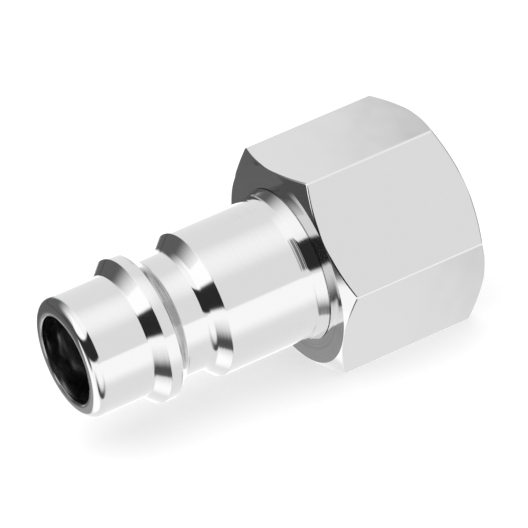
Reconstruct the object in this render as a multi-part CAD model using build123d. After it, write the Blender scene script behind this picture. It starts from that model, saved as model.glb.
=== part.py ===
from build123d import *
import math
import os

# The plug half of a pneumatic quick coupling, turned in one piece from hexagon bar.
# It lies on one flat of its hexagon, with its axis level along X and its nose towards -X.
# The origin is on the surface it lies on, half way along its length.
# Lengths are in millimetres. Stations are distances from the nose, measured along the axis.

# Hexagon for the spanner. The bar's corners are a little rounded, as drawn bar has them.
across_flats = 17.0
bar_corner_radius = 0.3
hexagon_length = 13.2
chamfer_angle = 30.0
chamfer_circle = across_flats - 0.1
blank_oversize = 1.0

# Female thread G 1/4 in the rear, bored to the thread's minor diameter.
# The helix itself is modelled with the look of the part.
threads_per_inch = 19
thread_pitch = 25.4 / threads_per_inch
thread_major = 13.157
thread_height = 0.640327 * thread_pitch
thread_minor = thread_major - 2 * thread_height
thread_depth = 10.0
thread_entry = thread_major + 0.4
entry_angle = 45.0
drill_point_angle = 118.0

# Through passage for the air.
bore_diameter = 7.4
mouth_chamfer = 0.08

# Nose, retaining bead, ball neck and body of the coupling profile.
tip_diameter = 10.2
bead_diameter = 12.2
neck_diameter = 9.9
body_diameter = 12.1
tip_length = 5.1
bead_land = 1.0
neck_and_bead_length = 6.6
front_length = 20.4
flank_angle = 45.0

# Foot of the body: a short shallow cone that rises to the hexagon's face.
foot_diameter = 12.94
foot_angle = 24.0

# Radii where the turning tool leaves one.
nose_radius = 0.9
edge_radius = 0.1
neck_radius = 0.4
shoulder_radius = 0.85
foot_radius = 0.6

total_length = front_length + hexagon_length


def cone_length(from_diameter, to_diameter, angle):
    """Axial length of a cone that changes diameter at an angle to the axis."""
    return abs(to_diameter - from_diameter) / 2 / math.tan(math.radians(angle))


def at(station, diameter):
    """Point of the half section, drawn in the plane of X and Y."""
    return (station, diameter / 2)


# Stations that follow from the sizes above.
bead_front = tip_length + cone_length(tip_diameter, bead_diameter, flank_angle)
bead_rear = bead_front + bead_land
neck_front = bead_rear + cone_length(bead_diameter, neck_diameter, flank_angle)
body_front = tip_length + neck_and_bead_length
neck_rear = body_front - cone_length(neck_diameter, body_diameter, flank_angle)
blank_diameter = across_flats / math.cos(math.radians(30)) + blank_oversize
chamfer_length = (blank_diameter - chamfer_circle) / 2 * math.tan(math.radians(chamfer_angle))
foot_front = front_length - cone_length(body_diameter, foot_diameter, foot_angle)


def front_profile():
    """Half section from the nose to the hexagon's face, with its turned radii."""
    corners = [
        (at(0, 0), 0),
        (at(0, tip_diameter), nose_radius),
        (at(tip_length, tip_diameter), 0),
        (at(bead_front, bead_diameter), edge_radius),
        (at(bead_rear, bead_diameter), edge_radius),
        (at(neck_front, neck_diameter), neck_radius),
        (at(neck_rear, neck_diameter), shoulder_radius),
        (at(body_front, body_diameter), edge_radius),
        (at(foot_front, body_diameter), foot_radius),
        (at(front_length, foot_diameter), 0),
        (at(front_length, 0), 0),
    ]
    points = [point for point, radius in corners]
    section = make_face(Polyline(*points, close=True))
    for point, radius in corners:
        if radius:
            corner = section.vertices().sort_by_distance(Vector(*point))[0]
            section = fillet(corner, radius)
    return section


def head_profile():
    """Half section of the blank that the hexagon is cut from, chamfered at both ends."""
    corners = [
        at(front_length, 0),
        at(front_length, chamfer_circle),
        at(front_length + chamfer_length, blank_diameter),
        at(total_length - chamfer_length, blank_diameter),
        at(total_length, chamfer_circle),
        at(total_length, 0),
    ]
    return make_face(Polyline(*corners, close=True))


def turn(section):
    """Solid of revolution about the part's axis, from a half section."""
    return revolve(section, Axis.X)


def hexagon_bar():
    """Hexagon bar as long as the part, with two flats level and its corners rounded."""
    outline = RegularPolygon(across_flats / 2, 6, major_radius=False, rotation=0)
    outline = fillet(outline.vertices(), bar_corner_radius)
    section = Plane.YZ * outline
    return extrude(section, total_length)


def passage():
    """Air passage: chamfered mouth, bore, drill point and the hole for the thread."""
    bore_end = total_length - thread_depth
    bore_end -= cone_length(bore_diameter, thread_minor, drill_point_angle / 2)
    entry_length = cone_length(thread_minor, thread_entry, entry_angle)
    corners = [
        at(0, 0),
        at(0, bore_diameter + 2 * mouth_chamfer),
        at(mouth_chamfer, bore_diameter),
        at(bore_end, bore_diameter),
        at(total_length - thread_depth, thread_minor),
        at(total_length - entry_length, thread_minor),
        at(total_length, thread_entry),
        at(total_length, 0),
    ]
    return turn(make_face(Polyline(*corners, close=True)))


def plug_body():
    """The finished plug, laid on one of its flats."""
    blank = turn(front_profile()) + turn(head_profile())
    plug = (blank & hexagon_bar()) - passage()
    return Pos(-total_length / 2, 0, across_flats / 2) * plug


plug = plug_body()
plug.label = "plug_body"
os.makedirs("parts", exist_ok=True)
export_step(plug, "parts/plug_body.step")

box = plug.bounding_box()
balance = plug.center(CenterOf.MASS).X + total_length / 2
print("size", round(box.size.X, 3), round(box.size.Y, 3), round(box.size.Z, 3))
print("lowest", round(box.min.Z, 4), "solids", len(plug.solids()), "volume", round(plug.volume, 1))
print("it balances", round(balance, 2), "from the nose, and its flats start at", front_length)
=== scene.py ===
# %% [markdown]
# The part is the plug half of a compressed-air quick coupling. A lathe turns it in one piece from
# hexagon bar: nose, bead, ball neck and body first, then the two chamfers on the hexagon, then the
# bore and the threaded hole from the rear. It is plated, so it shows what stands around it. The
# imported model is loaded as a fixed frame, and everything below is placed in that frame, in metres.

# %% Load the frame
import math

import bmesh
import bpy
from mathutils import Matrix, Vector
from mathutils.kdtree import KDTree


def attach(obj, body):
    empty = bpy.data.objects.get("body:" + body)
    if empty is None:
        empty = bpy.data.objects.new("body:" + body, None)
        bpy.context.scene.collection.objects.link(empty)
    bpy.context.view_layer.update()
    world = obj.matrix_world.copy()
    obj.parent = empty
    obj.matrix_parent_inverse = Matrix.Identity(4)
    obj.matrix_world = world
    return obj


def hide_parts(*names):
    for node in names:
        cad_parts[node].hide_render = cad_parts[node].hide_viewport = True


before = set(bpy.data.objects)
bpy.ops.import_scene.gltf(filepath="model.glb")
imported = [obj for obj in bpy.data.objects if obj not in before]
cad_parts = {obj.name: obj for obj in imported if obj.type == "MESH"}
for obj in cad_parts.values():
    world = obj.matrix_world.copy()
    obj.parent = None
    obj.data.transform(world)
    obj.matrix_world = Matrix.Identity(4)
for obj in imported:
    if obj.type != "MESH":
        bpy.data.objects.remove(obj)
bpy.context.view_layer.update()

MM = 0.001

# %% [markdown]
# The camera comes first. The photograph looks at the nose from a little in front and from above,
# through a long lens, and the picture is tilted so that the axis climbs to the right. A long lens
# far away keeps the cylinders nearly parallel. The numbers come from matching circles and hexagon
# corners on the photograph.

# %% Camera
LOOK_AT = Vector((1.80, 0.35, 9.14)) * MM
AZIMUTH, ELEVATION, ROLL = (math.radians(a) for a in (-24.67, 26.19, -11.98))
DISTANCE = 481.4 * MM
LENS, SENSOR, NEAREST = 414.7, 36.0, 10 * MM


def camera_turn(azimuth, elevation, roll):
    """Rotation of a camera that looks back along a direction, rolled about that direction."""
    level = Matrix.Rotation(azimuth, 3, "Z") @ Matrix.Rotation(math.pi / 2 - elevation, 3, "X")
    return level @ Matrix.Rotation(roll, 3, "Z")


turn = camera_turn(AZIMUTH, ELEVATION, ROLL)
camera_data = bpy.data.cameras.new("camera")
camera_data.sensor_width = SENSOR
camera_data.lens = LENS
camera_data.clip_start = NEAREST
camera = bpy.data.objects.new("camera", camera_data)
camera.matrix_world = Matrix.Translation(LOOK_AT + turn @ Vector((0, 0, DISTANCE))) @ turn.to_4x4()
bpy.context.scene.collection.objects.link(camera)
bpy.context.scene.camera = camera
print("camera stands at", [round(v / MM, 1) for v in camera.location])

# %% [markdown]
# The sizes are the driving dimensions of the turned part, in millimetres, the same as in its
# source. Stations are distances from the nose along the axis, and widths are diameters. Naming
# them here means that the half section below reads like a workshop drawing. The lead and the
# groove are too fine for the source, and only the picture asks for them. The gap is what stays open
# between the shell and the thread until the two are joined.

# %% Sizes
TOTAL, FRONT, FLATS = 33.6, 20.4, 17.0
TIP, BEAD, NECK, BODY, FOOT = 10.2, 12.2, 9.9, 12.1, 12.94
TIP_END, BEAD_LAND, BODY_START = 5.1, 1.0, 11.7
FOOT_ANGLE, CHAMFER_ANGLE, DRILL_ANGLE = (math.radians(a) for a in (24, 30, 59))
BORE, MOUTH = 7.4, 0.08
LEAD, LEAD_ANGLE = 0.7, math.radians(5.2)
GROOVE, GROOVE_TOP, GROOVE_FLOOR = 0.07, FOOT - 0.05, FOOT - 0.26
CHAMFER_CIRCLE = FLATS - 0.1
CORNERS = FLATS / math.cos(math.radians(30))
BLANK = CORNERS + 1.0
PITCH, MAJOR, THREAD_DEPTH = 25.4 / 19, 13.157, 10.0
TOOTH = 0.640327 * PITCH
MINOR = MAJOR - 2 * TOOTH
ENTRY = MAJOR + 0.4
THREAD_START = TOTAL - THREAD_DEPTH
GAP = 0.2
print("hexagon over corners", round(CORNERS, 2), "before they are rounded")
print("thread: pitch", round(PITCH, 3), "over roots", MAJOR, "over crests", round(MINOR, 3))

# %% [markdown]
# A turned part is a half section swept once round its axis. The section starts as a chain of
# straight lines, the way a lathe program lists its moves. Each tool radius is then a vertex bevel
# on one corner: its offset is the tangent length, which is the radius times the tangent of half
# the turn. Round edges matter more than any texture here, because a bright edge line is how the
# eye knows that metal is real. The body widens at its foot, hardly at all and then in a short
# shallow cone, and where it meets the hexagon's face the parting tool leaves a groove no wider
# than a hair, which is the thin dark line in the photograph.

# %% Half section
def chain(mesh, corners):
    """Joins (station, diameter) corners into one chain of edges and returns its vertices."""
    verts = [mesh.verts.new((station, 0.0, diameter / 2)) for station, diameter in corners]
    for a, b in zip(verts, verts[1:]):
        mesh.edges.new((a, b))
    return verts


def round_corner(mesh, vert, radius, segments):
    """Rounds one corner of the chain with an arc that touches both of its lines."""
    a, b = (edge.other_vert(vert).co - vert.co for edge in vert.link_edges)
    turned = math.pi - a.angle(b)
    offset = radius * math.tan(turned / 2)
    bmesh.ops.bevel(
        mesh, geom=[vert], offset=offset, offset_type="OFFSET", segments=segments,
        profile=0.5, affect="VERTICES", clamp_overlap=False, material=-1,
    )


plug = bmesh.new()
flank = (BEAD - TIP) / 2
rear_flank = (BEAD - NECK) / 2
shoulder = (BODY - NECK) / 2
bead_front = TIP_END + flank
bead_rear = bead_front + BEAD_LAND
foot_length = (FOOT - BODY) / 2 / math.tan(FOOT_ANGLE)
chamfer = (BLANK - CHAMFER_CIRCLE) / 2 * math.tan(CHAMFER_ANGLE)
drill_point = (MINOR - BORE) / 2 / math.tan(DRILL_ANGLE)

corners = chain(plug, [
    (THREAD_START + GAP, MINOR),
    (THREAD_START, MINOR),
    (THREAD_START - drill_point, BORE),
    (MOUTH, BORE),
    (0.0, BORE + 2 * MOUTH),
    (0.0, TIP),
    (TIP_END, TIP),
    (bead_front, BEAD),
    (bead_rear, BEAD),
    (bead_rear + rear_flank, NECK),
    (BODY_START - shoulder, NECK),
    (BODY_START, BODY),
    (FRONT - foot_length - LEAD, BODY),
    (FRONT - foot_length, BODY + 2 * LEAD * math.tan(LEAD_ANGLE)),
    (FRONT - GROOVE, GROOVE_TOP),
    (FRONT - GROOVE, GROOVE_FLOOR),
    (FRONT, GROOVE_FLOOR),
    (FRONT, CHAMFER_CIRCLE),
    (FRONT + chamfer, BLANK),
    (TOTAL - chamfer, BLANK),
    (TOTAL, CHAMFER_CIRCLE),
    (TOTAL, ENTRY + 2 * GAP),
])
# The tool radius at a corner, by the corner's place in the list above, which counts from 0.
tool_radii = {
    3: 0.04, 4: 0.04, 5: 0.9, 6: 0.12, 7: 0.09, 8: 0.09,
    9: 0.4, 10: 0.85, 11: 0.09, 12: 3.0, 13: 0.5,
}
LARGE_RADIUS, MANY_STEPS, FEW_STEPS = 0.3, 14, 5
for number, radius in tool_radii.items():
    round_corner(plug, corners[number], radius, MANY_STEPS if radius > LARGE_RADIUS else FEW_STEPS)
print("half section has", len(plug.verts), "points")

# %% [markdown]
# One full spin sweeps the half section round the axis. use_merge joins the last copy to the first,
# so no seam is left. The number of steps divides by twelve, which puts a row of points on the
# middle of every flat and on every corner of the hexagon that is cut next.

# %% Turned blank
SPIN_STEPS = 192
MERGE, ON_PLANE = 0.001, 0.0005
bmesh.ops.spin(
    plug, geom=plug.verts[:] + plug.edges[:], cent=(0, 0, 0), axis=(1, 0, 0), angle=2 * math.pi,
    steps=SPIN_STEPS, use_merge=True, use_duplicate=False,
)
bmesh.ops.remove_doubles(plug, verts=plug.verts[:], dist=MERGE)
print("turned blank has", len(plug.faces), "faces")

# %% [markdown]
# On the real part the flats are there first and the lathe cuts the chamfers into them. Here it is
# the other way round, because a plane cut is exact: bisect_plane takes off all that lies outside a
# flat, and contextual_create closes the cut. Each flat then ends in the curved edge that a cone
# leaves on a plane. Drawn bar has slightly round corners, so three narrow cuts follow at each one.

# %% Hexagon
CORNER_RADIUS = 0.3
corner_reach = (FLATS / 2 - CORNER_RADIUS) / math.cos(math.radians(30))


def plane_cut(mesh, angle, distance):
    """Cuts away what lies beyond a plane along the axis, and closes the cut with one face."""
    outward = Vector((0, math.sin(angle), math.cos(angle)))
    cut = bmesh.ops.bisect_plane(
        mesh, geom=mesh.verts[:] + mesh.edges[:] + mesh.faces[:], dist=ON_PLANE,
        plane_co=outward * distance, plane_no=outward, clear_outer=True,
    )
    rim = [item for item in cut["geom_cut"] if isinstance(item, bmesh.types.BMEdge)]
    bmesh.ops.contextual_create(mesh, geom=rim)


for side in range(6):
    plane_cut(plug, math.radians(60 * side), FLATS / 2)
for side in range(6):
    for lean in (-15, 0, 15):
        reach = corner_reach * math.cos(math.radians(lean)) + CORNER_RADIUS
        plane_cut(plug, math.radians(60 * side + 30 + lean), reach)
print("with the hexagon cut", len(plug.faces), "faces")

# %% [markdown]
# Tumbling and plating round every edge a little. The curved edges between the flats and the two
# chamfers get a bevel of three hundredths of a millimetre, all that there is room for at the
# middle of a flat, where the chamfer runs out. Towards the corners there is more room, so there
# the bevel's points move away from the old edge, and the rounding grows wide enough to draw the
# dark line that the photograph shows along it. The KD tree remembers where the old edge was.

# %% Broken edges of the hexagon
ALMOST, INSIDE_HEXAGON = 0.001, 7.5


def is_chamfer(face):
    """True for a facet of the two cones at the hexagon's ends."""
    off_cone = abs(abs(face.normal.x) - math.cos(CHAMFER_ANGLE))
    return off_cone < ALMOST and face.calc_center_median().x > FRONT


def is_cut_face(face):
    """True for a flat or a corner strip: it faces straight out and stands on the hexagon."""
    middle = face.calc_center_median()
    faces_out = abs(face.normal.x) < ALMOST
    return faces_out and middle.x > FRONT and math.hypot(middle.y, middle.z) > INSIDE_HEXAGON


plug.normal_update()
curved_edges = [
    edge for edge in plug.edges
    if len(edge.link_faces) == 2 and sum(is_cut_face(face) for face in edge.link_faces) == 1
]
curve_points = list(dict.fromkeys(vert for edge in curved_edges for vert in edge.verts))
old_edge = KDTree(len(curve_points))
for number, vert in enumerate(curve_points):
    old_edge.insert(vert.co, number)
old_edge.balance()
NARROW, WIDE = 0.03, 0.08
rounding = bmesh.ops.bevel(
    plug, geom=curved_edges, offset=NARROW, offset_type="OFFSET", segments=3, profile=0.5,
    affect="EDGES", clamp_overlap=True, material=-1,
)
for vert in rounding["verts"]:
    corner = old_edge.find(vert.co)[0]
    room = (math.hypot(corner.y, corner.z) - CHAMFER_CIRCLE / 2) / math.cos(CHAMFER_ANGLE)
    vert.co = corner + (vert.co - corner) * min(max(NARROW, room / 2), WIDE) / NARROW
print("rounded", len(curved_edges), "short edges with", len(rounding["verts"]), "points")

# %% [markdown]
# The thread in the rear is G 1/4: 19 turns to the inch, flanks 55 degrees apart, crests and roots
# rounded. Its outline over one pitch starts and ends half way up a flank, so that each turn of the
# helix meets the next. The vertex bevel's arc stands off its corner by 2 minus the root of 2 times
# the offset, seen along the corner's middle line, and from that follows the offset which puts the
# crests and roots on their diameters. The straight flanks are then cut into shorter edges.

# %% Thread outline
HALF_FLANK = math.radians(27.5)
RUN_UP, LONG_EDGE = 1.2, 0.15
thread = bmesh.new()
sharp_height = PITCH / 2 / math.tan(HALF_FLANK)
pitch_radius = (MAJOR + MINOR) / 4
first = THREAD_START - RUN_UP
tooth = chain(thread, [
    (first, 2 * pitch_radius),
    (first + PITCH / 4, 2 * pitch_radius + sharp_height),
    (first + 3 * PITCH / 4, 2 * pitch_radius - sharp_height),
    (first + PITCH, 2 * pitch_radius),
])
truncation = (sharp_height - TOOTH) / 2
bmesh.ops.bevel(
    thread, geom=tooth[1:3], offset=truncation / (2 - math.sqrt(2)) / math.cos(HALF_FLANK),
    offset_type="OFFSET", segments=8, profile=0.5, affect="VERTICES", clamp_overlap=False,
    material=-1,
)
long_edges = [edge for edge in thread.edges if edge.calc_length() > LONG_EDGE]
bmesh.ops.subdivide_edges(thread, edges=long_edges, cuts=3)
heights = [v.co.z * 2 for v in thread.verts]
print("thread outline from", round(min(heights), 3), "to", round(max(heights), 3), "mm across")

# %% [markdown]
# Spin takes a step along the axis as well as a turn: dvec moves each copy a little further, and
# the outline winds into a right-handed helix. The helix is longer than the hole at both ends and
# is cut to length. A tap starts with a taper, so the innermost turns fade out, and the entry
# chamfer opens the outermost ones: there each point simply moves out or in to the cone that the
# tool left.

# %% Helix
TURN_STEPS = 96
TAP_TAPER, TAPER_LEAD = 2.2, 0.1
turns = math.ceil((TOTAL - first) / PITCH)
bmesh.ops.spin(
    thread, geom=thread.verts[:] + thread.edges[:], cent=(0, 0, 0), axis=(1, 0, 0),
    dvec=(PITCH / TURN_STEPS, 0, 0), angle=2 * math.pi * turns, steps=TURN_STEPS * turns,
    use_merge=False, use_duplicate=False,
)
bmesh.ops.remove_doubles(thread, verts=thread.verts[:], dist=2 * MERGE)
inner_end = THREAD_START + 2 * GAP
for station, side in ((inner_end, -1), (TOTAL, 1)):
    bmesh.ops.bisect_plane(
        thread, geom=thread.verts[:] + thread.edges[:] + thread.faces[:], dist=ON_PLANE,
        plane_co=(station, 0, 0), plane_no=(side, 0, 0), clear_outer=True,
    )
for vert in thread.verts:
    radius = math.hypot(vert.co.y, vert.co.z)
    taper = MINOR / 2 + TOOTH * max(0.0, (vert.co.x - inner_end - TAPER_LEAD) / TAP_TAPER)
    entry = ENTRY / 2 - (TOTAL - vert.co.x)
    wanted = max(min(radius, taper), entry, MINOR / 2)
    vert.co.y *= wanted / radius
    vert.co.z *= wanted / radius
print("helix has", turns, "turns and", len(thread.faces), "faces")

# %% [markdown]
# The helix and the turned shell are still two open surfaces. bridge_loops joins them at both ends:
# deep in the hole, where the thread has faded to the drilled wall, and on the rear face. After
# that the piece must be one closed skin with its faces pointing out, and its volume says if it is.

# %% Join the thread to the shell
helix_mesh = bpy.data.meshes.new("helix")
thread.to_mesh(helix_mesh)
thread.free()
plug.from_mesh(helix_mesh)
bpy.data.meshes.remove(helix_mesh)

SLACK = 0.01
for low, high in ((inner_end - GAP, inner_end), (TOTAL, TOTAL)):
    rims = [
        edge for edge in plug.edges
        if edge.is_boundary and all(low - SLACK <= vert.co.x <= high + SLACK for vert in edge.verts)
    ]
    bmesh.ops.bridge_loops(plug, edges=rims)
bmesh.ops.recalc_face_normals(plug, faces=plug.faces[:])
open_edges = sum(not edge.is_manifold for edge in plug.edges)
print("open edges", open_edges, "volume in mm3", round(plug.calc_volume(signed=True), 1))

# %% [markdown]
# The edges of each flat and of each chamfer are marked sharp, so that both shade as true planes
# and cones right up to the line between them. Elsewhere an edge is sharp if its faces turn by more
# than a tool radius would. The Weighted Normal modifier then lets the large faces decide the
# shading, which keeps the long cylinders straight up to their rounded ends.

# %% The finished piece
SHARP_TURN, SHARP_TURN_BESIDE_CUT = math.radians(24), math.radians(4)
for face in plug.faces:
    face.smooth = True
for edge in plug.edges:
    turned = edge.calc_face_angle(0.0)
    beside_cut = any(is_cut_face(face) or is_chamfer(face) for face in edge.link_faces)
    edge.smooth = turned <= (SHARP_TURN_BESIDE_CUT if beside_cut else SHARP_TURN)
bmesh.ops.translate(plug, verts=plug.verts[:], vec=(-TOTAL / 2, 0, FLATS / 2))
bmesh.ops.scale(plug, verts=plug.verts[:], vec=(MM, MM, MM))
plug_mesh = bpy.data.meshes.new("turned_plug")
plug.to_mesh(plug_mesh)
plug.free()
plug_piece = bpy.data.objects.new("turned_plug", plug_mesh)
bpy.context.scene.collection.objects.link(plug_piece)
weighted = plug_piece.modifiers.new("weighted normals", "WEIGHTED_NORMAL")
weighted.keep_sharp = True
weighted.weight = 100
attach(plug_piece, "root")
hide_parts("plug_body")
triangles = sum(len(face.vertices) - 2 for face in plug_mesh.polygons)
print("finished piece has", triangles, "triangles")

# %% [markdown]
# Bright nickel plate over turned steel is a mirror with a grain. The lathe leaves rings so fine
# that they only feather the edge of a reflection. They follow the axis and the distance from it,
# so both are worked out from Object coordinates, and a noise that is stretched along the two
# becomes rings on every cone, cylinder and face. The distance counts for less than the length,
# because the faces are smoother than the rest. The flats were drawn and not turned, so the rings
# end where the chamfers begin. Two helpers keep the node tree short: one gives inputs their values
# and links, and the other adds a node and does the same for it.

# %% Turning rings
def feed(tree, node, inputs):
    """Gives each named or numbered input of a node its value, or a link from another node."""
    for socket, value in inputs.items():
        if isinstance(value, bpy.types.NodeSocket):
            tree.links.new(value, node.inputs[socket])
        else:
            node.inputs[socket].default_value = value


def add(tree, kind, inputs, **settings):
    """Adds a node of one kind, sets its properties and feeds its inputs."""
    node = tree.nodes.new(kind)
    for name, value in settings.items():
        setattr(node, name, value)
    feed(tree, node, inputs)
    return node


RING_HEIGHT, RING_STRENGTH, DISTANCE_SHARE = 0.006 * MM, 0.6, 0.35
plate = bpy.data.materials.new("bright nickel plate")
plate.use_nodes = True
tree = plate.node_tree

place = add(tree, "ShaderNodeTexCoord", {}).outputs["Object"]
axis_height = {"Vector": place, "Location": (0, 0, -FLATS / 2 * MM)}
centred = add(tree, "ShaderNodeMapping", axis_height).outputs["Vector"]
parts = add(tree, "ShaderNodeSeparateXYZ", {"Vector": centred}).outputs
across = add(tree, "ShaderNodeCombineXYZ", {"Y": parts["Y"], "Z": parts["Z"]}).outputs["Vector"]
distance = add(tree, "ShaderNodeVectorMath", {0: across}, operation="LENGTH").outputs["Value"]
weaker = add(tree, "ShaderNodeMath", {0: distance, 1: DISTANCE_SHARE}, operation="MULTIPLY")
ring_place = add(tree, "ShaderNodeCombineXYZ", {"X": parts["X"], "Y": weaker.outputs["Value"]})
rings = add(
    tree, "ShaderNodeTexNoise",
    {"Vector": ring_place.outputs["Vector"], "Scale": 6000.0, "Detail": 2.0},
    noise_dimensions="2D",
)
turned_part = add(tree, "ShaderNodeMapRange", {
    "Value": distance, "To Min": RING_STRENGTH, "To Max": 0.0,
    "From Min": (CHAMFER_CIRCLE / 2 - 0.02) * MM, "From Max": CHAMFER_CIRCLE / 2 * MM,
})
ring_bump = add(tree, "ShaderNodeBump", {
    "Height": rings.outputs["Fac"], "Strength": turned_part.outputs["Result"],
    "Distance": RING_HEIGHT,
})
print("turning rings take", len(tree.nodes) - 2, "nodes")

# %% [markdown]
# Nothing turned from bar is quite true, so a second bump, millimetres wide and a few microns high,
# bends the reflections very slightly. The plating is thick and bright on the outside, but the
# drilled bore and the tapped thread take little of it and keep the tools' rougher finish, which is
# duller in some places than in others. They are also given a darker colour, partly the tooled
# steel's own tone and partly painted shade that stands for the light lost deep in the hole. Both
# lie nearer to the axis than any outer surface does: the bore everywhere, and the thread within the
# hexagon. The bore's wall is rough from the drill as well. A third bump, squeezed along the axis
# and only there, breaks what it reflects into dim streaks.

# %% Waviness and the drilled bore
WAVE_HEIGHT, SMEAR_HEIGHT = 0.025 * MM, 0.4 * MM
BORE_REACH, THREAD_REACH = 3.86 * MM, 6.9 * MM
waves = add(tree, "ShaderNodeTexNoise", {"Vector": place, "Scale": 260.0, "Detail": 1.0})
wavy = add(tree, "ShaderNodeBump", {
    "Height": waves.outputs["Fac"], "Normal": ring_bump.outputs["Normal"],
    "Strength": 0.5, "Distance": WAVE_HEIGHT,
})
reach = add(tree, "ShaderNodeMapRange", {
    "Value": parts["X"], "To Min": BORE_REACH, "To Max": THREAD_REACH,
    "From Min": (THREAD_START - TOTAL / 2 - drill_point) * MM,
    "From Max": (THREAD_START - TOTAL / 2 + 0.1) * MM,
})
inside = add(
    tree, "ShaderNodeMath", {0: distance, 1: reach.outputs["Result"]}, operation="LESS_THAN",
).outputs["Value"]
bored = add(tree, "ShaderNodeMath", {0: distance, 1: BORE_REACH}, operation="LESS_THAN")
squeezed = add(tree, "ShaderNodeMapping", {"Vector": place, "Scale": (2.2, 1, 1)})
smears = add(
    tree, "ShaderNodeTexNoise",
    {"Vector": squeezed.outputs["Vector"], "Scale": 300.0, "Detail": 1.5},
).outputs["Fac"]
drilled = add(tree, "ShaderNodeBump", {
    "Height": smears, "Normal": wavy.outputs["Normal"],
    "Strength": bored.outputs["Value"], "Distance": SMEAR_HEIGHT,
})
print("bore and thread bring it to", len(tree.nodes) - 2, "nodes")

# %% [markdown]
# Nickel gives back a little under two thirds of the light, so what is seen in it twice over, as
# between the bead and the ball neck, is plainly darker. Inside the hole the colour is darker still,
# partly the tooled steel's own tone and partly painted shade. The plate's own roughness is one
# number, and inside the hole it follows the smears.

# %% Plated steel
# The second colour is the darker one inside the hole: partly the tooled steel's own tone and partly
# painted shade.
NICKEL, TOOL_FINISH_AND_SHADE, SMOOTH = 0.62, 0.40, 0.09
smeared = add(tree, "ShaderNodeMapRange", {
    "Value": smears, "From Min": 0.3, "From Max": 0.7, "To Min": 0.14, "To Max": 0.34,
})
dullness = add(tree, "ShaderNodeMapRange", {
    "Value": inside, "To Min": SMOOTH, "To Max": smeared.outputs["Result"],
})
# Wherever inside is 1 this mix gives the hole's darker colour, partly tooled steel and partly
# painted shade.
metal = add(
    tree, "ShaderNodeMix", {0: inside, 6: (*[NICKEL] * 3, 1.0), 7: (*[TOOL_FINISH_AND_SHADE] * 3, 1.0)},
    data_type="RGBA",
)
feed(tree, tree.nodes["Principled BSDF"], {
    "Base Color": metal.outputs[2], "Metallic": 1.0,
    "Roughness": dullness.outputs["Result"], "Normal": drilled.outputs["Normal"],
})
plug_mesh.materials.append(plate)
print("plated steel has", len(tree.nodes), "nodes")

# %% [markdown]
# Metal has no look of its own apart from its surroundings, so the studio matters as much as the
# material. A photographer stands white, grey and black cards round a shiny part, and each band and
# patch on it is one of these cards. Real cards would hide the part from some sides, so here they
# are soft-edged parts of the world. The dot product of a direction with a card's own direction
# says how far one is turned towards the other, and a smooth Map Range makes a soft edge out of
# that.

# %% Masks for the cards
world = bpy.data.worlds.new("studio")
bpy.context.scene.world = world
world.use_nodes = True
sky = world.node_tree
sky.nodes.clear()
direction = add(sky, "ShaderNodeTexCoord", {}).outputs["Generated"]


def facing(towards, start, end):
    """A mask that rises from 0 to 1 as a direction turns from one dot product to the other."""
    dot = add(
        sky, "ShaderNodeVectorMath", {0: direction, 1: Vector(towards).normalized()},
        operation="DOT_PRODUCT",
    )
    edge = add(
        sky, "ShaderNodeMapRange",
        {"Value": dot.outputs["Value"], "From Min": start, "From Max": end},
        interpolation_type="SMOOTHSTEP",
    )
    return edge.outputs["Result"]


def together(operation, *masks):
    """Combines masks: MULTIPLY keeps what all of them cover, MAXIMUM what any of them covers."""
    result = masks[0]
    for mask in masks[1:]:
        node = add(sky, "ShaderNodeMath", {0: result, 1: mask}, operation=operation)
        result = node.outputs["Value"]
    return result


def lay_card(under, brightness, mask):
    """Lays a card of one brightness over what is there already, wherever its mask is 1."""
    mix = add(sky, "ShaderNodeMix", {0: mask, 2: under, 3: brightness}, data_type="FLOAT")
    return mix.outputs[0]


print("the masks start from the", direction.name, "direction of the world")

# %% [markdown]
# The grey wall behind the hexagon shows in all cylinders. The white roof leaves a soft band along
# their tops, and the white table another below their middles. A black card stands before the nose
# and a dark grey one to the left of it, which fades upwards. The cones face these two, and so do
# the nose and the front of the hexagon. Between them stands a narrow post. Two cards are low: a
# dark ring round the way that the nose is seen from, as of a lamp's rim, and a white spot beside
# it.

# %% Brightness of the cards
GREY_WALL, WHITE_ROOF, WHITE_CARD, WHITE_TABLE, PALE_TABLE = 1.13, 1.5, 1.6, 1.5, 1.15
GREY_CARD, BLACK_CARD, DARK_RING, DARK_POST = 0.158, 0.032, 0.11, 0.16
REAR_CARD, GREY_SPOT, FAR_SHADE = 0.50, 0.45, 0.72
print("cards run from", BLACK_CARD, "to", WHITE_CARD)

# %% [markdown]
# Low behind the part lies a mid-grey spot, which the lower half of the hexagon's front mirrors,
# and a small dark one in front of the nose gives its rounding one more streak. A grey card behind
# the threaded end greys the rear flank of the bead, and gives the rear face a tone of its own. Two
# weak shades whose edges fall across the mirror images of the upper and the lower flat darken both
# a little towards the rear, and show that the flats aren't quite flat. The cards are laid in
# order, each over those before it.

# %% Cards round the part
ring_axis = Vector((-0.48, -0.766, -0.43))
dark_ring = together(
    "MULTIPLY", facing(ring_axis, 0.71, 0.76), facing(-ring_axis, -0.96, -0.84),
    facing((0, 0, -1), 0.20, 0.68), facing((-1, 0, 0), -0.24, 0.30),
)
black_card = together(
    "MULTIPLY", facing((0.255, -0.405, -0.878), -0.528, -0.458),
    facing((-0.19, 0.036, 0.981), 0.06, 0.152), facing((-1, 0, 0), -0.25, -0.18),
)
grey_card = together(
    "MULTIPLY", facing((0.126, 0.638, -0.759), -0.61, 0.09),
    facing((-0.351, 0.858, 0.375), 0.652, 0.670), facing((-1, 0, 0), -0.28, -0.05),
)
upper_shade = together(
    "MULTIPLY", facing((1, 0, 0), 0.391, 0.411), facing((0.42, 0.80, 0.42), 0.93, 0.98),
)
lower_shade = together(
    "MULTIPLY", facing((1, 0, 0), 0.397, 0.418), facing((0.42, -0.02, -0.90), 0.93, 0.98),
)

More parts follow.
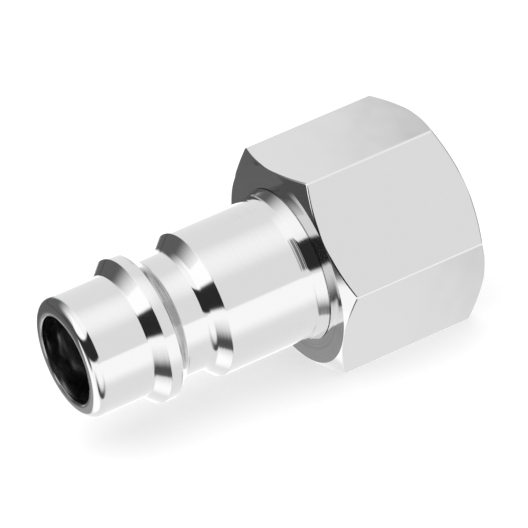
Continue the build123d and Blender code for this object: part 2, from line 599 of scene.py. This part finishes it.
cards = GREY_WALL
for brightness, mask in (
    (WHITE_ROOF, facing((0.0, -0.26, 0.966), 0.77, 1.0)),
    (WHITE_CARD, facing((-1, 0, 0), 0.24, 0.60)),
    (WHITE_TABLE, facing((0, 0, -1), -0.02, 0.02)),
    (PALE_TABLE, facing((0, 0, -1), 0.46, 0.77)),
    (WHITE_CARD, facing((-0.59, 0.31, -0.74), 0.90, 0.96)),
    (GREY_SPOT, facing((-0.33, 0.77, -0.545), 0.970, 0.990)),
    (FAR_SHADE, together("MAXIMUM", upper_shade, lower_shade)),
    (REAR_CARD, facing((0.98, 0.05, 0.17), 0.60, 0.92)),
    (GREY_CARD, grey_card),
    (DARK_RING, dark_ring),
    (DARK_POST, facing((-0.99, 0.14, -0.05), 0.940, 0.975)),
    (BLACK_CARD, black_card),
    (DARK_RING, facing((-0.87, 0.46, 0.17), 0.950, 0.988)),
):
    cards = lay_card(cards, brightness, mask)
print("the cards take", len(sky.nodes), "nodes")

# %% [markdown]
# Only glossy rays see the cards. The camera sees a white world, and all else is lit by a plain one
# and by a large soft lamp overhead, which draws the shadow on the floor and isn't reflected.

# %% Light
PLAIN_WORLD, WHITE_WORLD, LAMP = 0.6, 1.0, 0.9
rays = add(sky, "ShaderNodeLightPath", {}).outputs


def background(brightness):
    """A white background of one brightness, or of the brightness that an output gives."""
    inputs = {"Color": (1, 1, 1, 1), "Strength": brightness}
    return add(sky, "ShaderNodeBackground", inputs).outputs["Background"]


def choose(first, second, ray):
    """Shows the first shader, or the second to the kind of ray that is named."""
    return add(sky, "ShaderNodeMixShader", {0: rays[ray], 1: first, 2: second}).outputs["Shader"]


unseen = choose(background(PLAIN_WORLD), background(cards), "Is Glossy Ray")
seen = choose(unseen, background(WHITE_WORLD), "Is Camera Ray")
add(sky, "ShaderNodeOutputWorld", {"Surface": seen})

soft_box = bpy.data.lights.new("soft box", "AREA")
soft_box.shape = "RECTANGLE"
soft_box.size, soft_box.size_y = 1.6, 1.2
soft_box.energy = LAMP * math.pi * soft_box.size * soft_box.size_y
overhead = bpy.data.objects.new("overhead", soft_box)
overhead.location = (-0.1, -0.1, 0.8)
overhead.visible_glossy = False
bpy.context.scene.collection.objects.link(overhead)
print("soft box gives", round(soft_box.energy, 2), "W")

# %% [markdown]
# The floor is one pale sheet. Its own diffuse colour takes the soft shadow, and a little emission
# that only the camera sees lifts it to the white of the backdrop. Reflections look through it at
# the pale table that belongs to the cards. It lies a hair lower than the flat that rests on it, so
# that the two don't share one plane.

# %% Floor
FLOOR_REACH, FLOOR_DROP, PAPER, LIFT = 3.0, 0.02 * MM, 0.65, 0.5
sheet = bmesh.new()
bmesh.ops.create_grid(sheet, x_segments=1, y_segments=1, size=FLOOR_REACH)
floor_mesh = bpy.data.meshes.new("floor")
sheet.to_mesh(floor_mesh)
sheet.free()
floor = bpy.data.objects.new("floor", floor_mesh)
bpy.context.scene.collection.objects.link(floor)
floor.location.z = -FLOOR_DROP
floor.visible_glossy = False
paper = bpy.data.materials.new("white paper")
paper.use_nodes = True
tree = paper.node_tree
seen_by = add(tree, "ShaderNodeLightPath", {}).outputs
lift = add(tree, "ShaderNodeMath", {0: seen_by["Is Camera Ray"], 1: LIFT}, operation="MULTIPLY")
feed(tree, tree.nodes["Principled BSDF"], {
    "Base Color": (*[PAPER] * 3, 1), "Roughness": 0.9, "Specular IOR Level": 0.0,
    "Emission Color": (1, 1, 1, 1), "Emission Strength": lift.outputs["Value"],
})
floor_mesh.materials.append(paper)
print("floor shows", len(tree.nodes), "nodes")

# %% [markdown]
# Last come the display settings.

# %% Finish
bpy.context.scene.view_settings.view_transform = "Standard"
